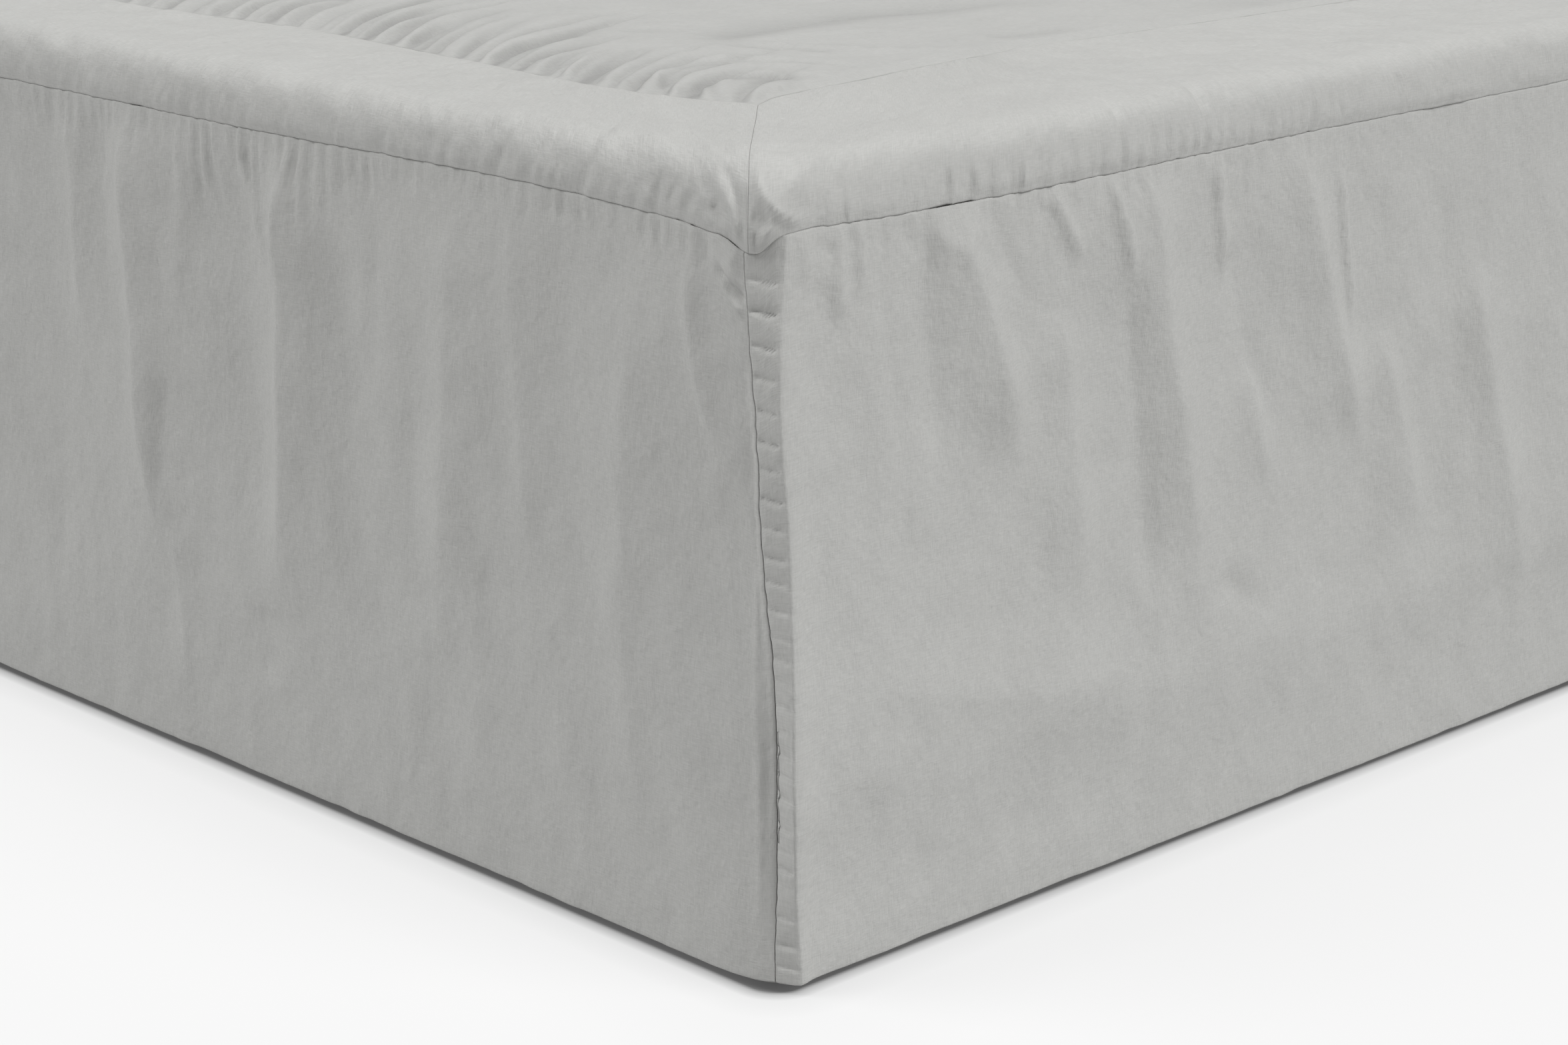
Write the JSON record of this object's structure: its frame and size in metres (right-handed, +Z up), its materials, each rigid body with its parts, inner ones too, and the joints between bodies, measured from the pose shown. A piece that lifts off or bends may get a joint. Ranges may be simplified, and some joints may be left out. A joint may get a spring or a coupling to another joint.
{
  "type": "bed skirt on box bed base",
  "caption": "Tailored linen bed skirt with mitred border bands and felled corner seams, hanging on the foot and both long sides of a plain box bed base, head end open.",
  "frame": {"origin": "on the floor under the middle of the base", "axes": "+X to the right side, +Y to the head end, +Z up"},
  "size_m": [1.5569, 2.0437, 0.3893],
  "materials": {
    "base_cover": "plain woven ticking, matte",
    "deck_linen": "light plain-weave linen, finely wrinkled, matte",
    "band_linen": "washed plain-weave linen with faint slubs, matte",
    "drop_linen": "washed plain-weave linen with faint slubs, soft hanging folds, matte"
  },
  "bodies": {
    "root": {"base": "base_cover", "deck": "deck_linen", "band_foot": "band_linen", "band_left": "band_linen", "band_right": "band_linen", "drop_foot": "drop_linen", "drop_left": "drop_linen", "drop_right": "drop_linen"}
  },
  "joints": []
}
